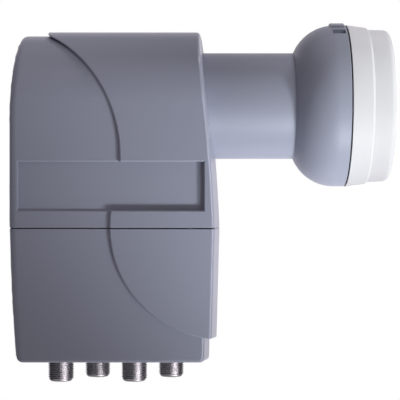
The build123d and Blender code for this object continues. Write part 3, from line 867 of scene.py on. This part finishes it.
        found = dict(given.items()) | dict(axes.items())
        for name, kind, settings, inputs in steps:
            links = {key: found.get(value, value) for key, value in inputs.items()}
            found[name] = add_node(tree, kind, settings, links).outputs[0]
        return found

    def tree(self) -> bpy.types.NodeTree:
        """Builds the tree that cuts the thread and sets out the ports.

        Returns:
            A node group whose named inputs are the thread's and the rows' sizes.
        """
        tree = bpy.data.node_groups.new("threaded_ports", "GeometryNodeTree")
        self.add_sockets(tree)
        given = add_node(tree, "NodeGroupInput").outputs
        thread = self.thread(tree, given)
        threaded = add_node(
            tree,
            "GeometryNodeSetPosition",
            None,
            {"Geometry": given["Port"], "Selection": thread["on_barrel"], "Offset": thread["lift"]},
        ).outputs["Geometry"]
        joined = add_node(tree, "GeometryNodeJoinGeometry")
        for side in ("Front", "Rear"):
            start, step = given[f"{side} Start"], given[f"{side} Step"]
            row = add_node(
                tree,
                "GeometryNodeMeshLine",
                None,
                {"Count": self.ports_per_row, "Start Location": start, "Offset": step},
            )
            tree.links.new(row.outputs["Mesh"], joined.inputs["Geometry"])
        ports = add_node(
            tree,
            "GeometryNodeInstanceOnPoints",
            None,
            {"Points": joined.outputs["Geometry"], "Instance": threaded},
        )
        real = add_node(tree, "GeometryNodeRealizeInstances", None, {"Geometry": ports.outputs["Instances"]})
        plated = add_node(
            tree,
            "GeometryNodeSetMaterial",
            None,
            {"Geometry": real.outputs["Geometry"], "Material": given["Finish"]},
        )
        add_node(tree, "NodeGroupOutput", None, {"Ports": plated.outputs["Geometry"]})
        return tree

    def sizes(self) -> dict[str, Any]:
        """Works out the tree's inputs from the frame.

        Returns:
            Values by the name of the tree's input.
        """
        bore = self.profile()[0][0]
        first, second, third, fourth = (self.centre(i) for i in range(len(self.shells)))
        collar_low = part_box("port_washer_1")[0].z - first.z - self.collar_mm * MM
        return {
            "Pitch": self.pitch_mm * MM,
            "Depth": self.depth_mm * MM,
            "Thread Low": self.mouth_bevel_mm * MM,
            "Thread High": collar_low,
            "Run Out": self.run_out_turns * self.pitch_mm * MM,
            "Barrel Radius": (bore + self.root()) / 2,
            "Front Start": first,
            "Front Step": third - first,
            "Rear Start": second,
            "Rear Step": fourth - second,
            "Finish": BRIGHT_NICKEL.material(),
        }

    def dress(self) -> None:
        """Runs the tree once and keeps its result as one plain mesh."""
        seedling = new_piece("port_seedling", self.blank(), BRIGHT_NICKEL)
        cut = seedling.modifiers.new("threaded_ports", "NODES")
        cut.node_group = self.tree()
        entries = cut.node_group.interface.items_tree
        sockets = {entry.name: entry.identifier for entry in entries if entry.in_out == "INPUT"}
        for name, value in self.sizes().items():
            cut[sockets[name]] = value
        evaluated = seedling.evaluated_get(bpy.context.evaluated_depsgraph_get())
        mesh = bpy.data.meshes.new_from_object(evaluated)
        bpy.data.objects.remove(seedling)
        piece = new_piece("threaded_ports", mesh, BRIGHT_NICKEL)
        stand_for(piece, Body.FIXED, BRIGHT_NICKEL, *self.shells)


@dataclass
class Works:
    """CAD nodes that keep their own form: seals, chassis, board, pins and screws."""

    frame: Frame

    def dress(self) -> None:
        """Gives each CAD node that still shows the finish of its record slot."""
        by_slot = {finish.slot: finish for finish in FINISHES}
        for name, node in self.frame["nodes"].items():
            if node.hide_render:
                continue
            for place in node.material_slots:
                place.material = by_slot[place.name.split(".")[0]].material()
            LOG.info("%s keeps its CAD form", name)


class Beam(Enum):
    """How a lamp throws its light."""

    SNOOT = "SPOT"
    DISK = "AREA"


@dataclass(frozen=True)
class Lamp:
    """A studio lamp that looks at a spot on the object."""

    name: str
    beam: Beam
    at: Point
    aim: Point
    size: float
    watts: float
    colour: str
    cone_deg: float = 40.0
    only: str = ""
    flagged: str = ""
    glints: bool = True

    def limit(self, lamp: bpy.types.Object, piece: str, state: str) -> None:
        """Keeps the light to one piece or off it, as a flag on a stand does.

        Args:
            lamp: Lamp in the scene.
            piece: Name of the piece.
            state: INCLUDE to light it alone, EXCLUDE to shade it.
        """
        group = bpy.data.collections.new(f"{self.name}_flag")
        group.objects.link(bpy.data.objects[piece])
        lamp.light_linking.receiver_collection = group
        group.collection_objects[0].light_linking.link_state = state

    def build(self, scene: bpy.types.Scene) -> None:
        """Places the lamp and turns it to its spot.

        Args:
            scene: Scene that takes the lamp.
        """
        data = bpy.data.lights.new(self.name, self.beam.value)
        data.energy = self.watts
        data.color = linear(self.colour)[:3]
        if self.beam is Beam.SNOOT:
            data.spot_size = math.radians(self.cone_deg)
            data.spot_blend = 1.0
            data.shadow_soft_size = self.size / 2
        else:
            data.shape = "DISK"
            data.size = self.size
        lamp = bpy.data.objects.new(self.name, data)
        lamp.location = self.at
        lamp.visible_glossy = self.glints
        lamp.rotation_mode = "QUATERNION"
        lamp.rotation_quaternion = (Vector(self.aim) - Vector(self.at)).to_track_quat("-Z", "Y")
        scene.collection.objects.link(lamp)
        for piece, state in ((self.only, "INCLUDE"), (self.flagged, "EXCLUDE")):
            if piece:
                self.limit(lamp, piece, state)


# The key and the weaker key of the cap stand on one spot, in metres; only the second lights the cap.
KEY_AT = (0.2555, -0.2464, -0.2734)
KEY_AIM = (0.02, 0.0, -0.01)
KEY_CONE_DEG = 30.0
CAP = "feed_cap_skin"
SNOOT_MOUTH = 0.06
WHITE = "#FFFFFF"


@dataclass
class Studio:
    """White paper behind and below, a dim room in front, and the camera of the product picture."""

    focal_px: float = 1341.0
    frame_px: float = 400.0
    sensor_mm: float = 36.0
    camera_at: Point = (-0.021, -0.509, -0.0356)
    clip_start: float = 0.01
    fill: float = 0.215
    fill_colour: str = "#FFF8FE"
    backlight: float = 0.7
    overhead: float = 0.6
    underlight: float = 0.4
    underlight_way: Point = (0.71, 0.0, -0.71)
    soft_focus: float = 3.0
    strip: float = 11.0
    strip_way: Point = (0.73, -0.68, 0.0)
    low_strip: float = 9.0
    low_strip_way: Point = (0.35, -0.67, -0.65)
    strip_focus: float = 24.0
    room: float = 0.05
    # Y of a mirrored ray where the paper behind begins to show, and where it is full white.
    paper_edge: tuple[float, float] = (0.6, 0.95)
    paper_colour: str = "#F4F4F4"
    paper_roughness: float = 0.9
    floor_z: float = -0.75
    floor_reach: float = 0.6
    lamps: tuple[Lamp, ...] = (
        Lamp(
            "low_right_key",
            Beam.SNOOT,
            KEY_AT,
            KEY_AIM,
            SNOOT_MOUTH,
            7.0,
            "#F8FCFF",
            KEY_CONE_DEG,
            flagged=CAP,
        ),
        Lamp(
            "low_right_cap_key",
            Beam.SNOOT,
            KEY_AT,
            KEY_AIM,
            SNOOT_MOUTH,
            4.7,
            "#FCFFFC",
            KEY_CONE_DEG,
            only=CAP,
        ),
        Lamp(
            "low_front_kicker",
            Beam.SNOOT,
            (0.0968, -0.1924, -0.2307),
            (-0.03, 0.0, 0.0),
            SNOOT_MOUTH,
            1.15,
            "#F3FCFF",
        ),
        Lamp(
            "cap_snoot",
            Beam.SNOOT,
            (0.3, -0.4, 0.16),
            (0.044, 0.0, 0.0),
            SNOOT_MOUTH,
            7.4,
            "#F8FFFB",
            10.0,
        ),
        Lamp(
            "high_front_snoot",
            Beam.SNOOT,
            (-0.1, -0.33, 0.38),
            (-0.08, -0.02, 0.025),
            SNOOT_MOUTH,
            1.1,
            "#FFF8FC",
            14.0,
            glints=False,
        ),
        Lamp(
            "low_rear_sheet",
            Beam.DISK,
            (0.03, 0.3, -0.43),
            (0.01, 0.0, -0.02),
            0.4,
            1.5,
            "#F8FCFF",
            flagged=CAP,
            glints=False,
        ),
        Lamp("high_right_rim", Beam.DISK, (0.3715, 0.0, 0.538), (-0.03, 0.0, -0.035), 0.15, 1.1, WHITE),
    )

    def build(self) -> None:
        """Sets up camera, lamps, floor and world."""
        scene = bpy.context.scene
        scene.view_settings.view_transform = "Standard"
        self.add_camera(scene)
        for lamp in self.lamps:
            lamp.build(scene)
        self.add_floor(scene)
        self.add_world(scene)

    def add_camera(self, scene: bpy.types.Scene) -> None:
        """Places the camera level in front of the object, looking along +Y.

        Args:
            scene: Scene that takes the camera.
        """
        data = bpy.data.cameras.new("product_camera")
        data.sensor_width = self.sensor_mm
        data.lens = self.sensor_mm * self.focal_px / self.frame_px
        data.clip_start = self.clip_start
        camera = bpy.data.objects.new("product_camera", data)
        camera.location = self.camera_at
        camera.rotation_euler = (math.pi / 2, 0, 0)
        scene.collection.objects.link(camera)
        scene.camera = camera

    def add_floor(self, scene: bpy.types.Scene) -> None:
        """Lays a sheet of pale paper far below, which glows white to the eye and faintly to gloss.

        Args:
            scene: Scene that takes the sheet.
        """
        mesh = bpy.data.meshes.new("studio_floor")
        reach = self.floor_reach
        corners = [(-reach, -reach), (reach, -reach), (reach, reach), (-reach, reach)]
        mesh.from_pydata([(x, y, self.floor_z) for x, y in corners], [], [(0, 1, 2, 3)])
        paper = bpy.data.materials.new("white_background_paper")
        paper.use_nodes = True
        tree = paper.node_tree
        shader = tree.nodes["Principled BSDF"]
        shader.inputs["Base Color"].default_value = linear(self.paper_colour)
        shader.inputs["Roughness"].default_value = self.paper_roughness
        shader.inputs["Emission Color"].default_value = linear(WHITE)
        path = add_node(tree, "ShaderNodeLightPath").outputs
        dimmed = {0: path["Is Glossy Ray"], 1: self.room}
        mirrored = add_node(tree, "ShaderNodeMath", {"operation": "MULTIPLY"}, dimmed).outputs[0]
        shown = {0: self.seen(tree, path), 1: mirrored}
        glow = add_node(tree, "ShaderNodeMath", {"operation": "MAXIMUM"}, shown).outputs[0]
        tree.links.new(glow, shader.inputs["Emission Strength"])
        mesh.materials.append(paper)
        floor = bpy.data.objects.new("studio_floor", mesh)
        scene.collection.objects.link(floor)

    def add_world(self, scene: bpy.types.Scene) -> None:
        """Lights the world: white to the eye, paper and strips in a dim room to gloss, else a soft fill.

        Args:
            scene: Scene that takes the world.
        """
        world = bpy.data.worlds.new("white_paper_in_a_dim_room")
        world.use_nodes = True
        scene.world = world
        tree = world.node_tree
        tree.nodes.clear()
        path = add_node(tree, "ShaderNodeLightPath").outputs
        way = add_node(tree, "ShaderNodeTexCoord").outputs["Generated"]

        def lobe(toward: Point, focus: float, strength: float, base: Any) -> bpy.types.NodeSocket:
            """Adds light from one side to a base level.

            Args:
                toward: Way to the light.
                focus: Power that narrows it.
                strength: What it adds on its axis.
                base: Level without it, a number or a socket.

            Returns:
                A socket with the level.
            """
            level = add_node(
                tree, "ShaderNodeVectorMath", {"operation": "DOT_PRODUCT"}, {0: way, 1: toward}
            ).outputs["Value"]
            for operation, *values in (("MAXIMUM", 0.0), ("POWER", focus), ("MULTIPLY_ADD", strength, base)):
                inputs = dict(enumerate((level, *values)))
                level = add_node(tree, "ShaderNodeMath", {"operation": operation}, inputs).outputs[0]
            return level

        depth = add_node(tree, "ShaderNodeSeparateXYZ", None, {"Vector": way}).outputs["Y"]
        begin, full = self.paper_edge
        mirrored = add_node(
            tree,
            "ShaderNodeMapRange",
            None,
            {"Value": depth, "From Min": begin, "From Max": full, "To Min": self.room, "To Max": 1.0},
        )
        up, back = (0.0, 0.0, 1.0), (0.0, 1.0, 0.0)
        side = lobe(self.strip_way, self.strip_focus, self.strip, mirrored.outputs["Result"])
        glints = lobe(self.low_strip_way, self.strip_focus, self.low_strip, side)
        sheet = lobe(back, self.soft_focus, self.backlight, self.fill)
        below = lobe(self.underlight_way, self.soft_focus, self.underlight, sheet)
        soft = lobe(up, self.soft_focus, self.overhead, below)
        lit = add_node(tree, "ShaderNodeMix", None, {"Factor": path["Is Glossy Ray"], "A": soft, "B": glints})
        eye = self.seen(tree, path)
        shown = add_node(tree, "ShaderNodeMix", None, {"Factor": eye, "A": lit.outputs["Result"], "B": 1.0})
        tint = add_node(
            tree,
            "ShaderNodeMix",
            {"data_type": "RGBA"},
            {"Factor": eye, "A": linear(self.fill_colour), "B": linear(WHITE)},
        )
        paper = add_node(
            tree,
            "ShaderNodeBackground",
            None,
            {"Color": tint.outputs["Result"], "Strength": shown.outputs["Result"]},
        )
        add_node(tree, "ShaderNodeOutputWorld", None, {"Surface": paper.outputs["Background"]})

    @staticmethod
    def seen(tree: bpy.types.NodeTree, path: Sockets) -> bpy.types.NodeSocket:
        """Adds a switch that is 1 for what the eye sees, straight or through something clear."""
        rays = {0: path["Is Camera Ray"], 1: path["Is Transmission Ray"]}
        return add_node(tree, "ShaderNodeMath", {"operation": "MAXIMUM"}, rays).outputs[0]


def main() -> None:
    """Loads the frame, dresses every sub-assembly and builds the studio."""
    logging.basicConfig(level=logging.INFO, format="%(name)s: %(message)s")
    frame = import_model()
    Casing(frame).dress()
    Feed(frame).dress()
    PortRow().dress()
    Works(frame).dress()
    Studio().build()


if __name__ == "__main__":
    main()
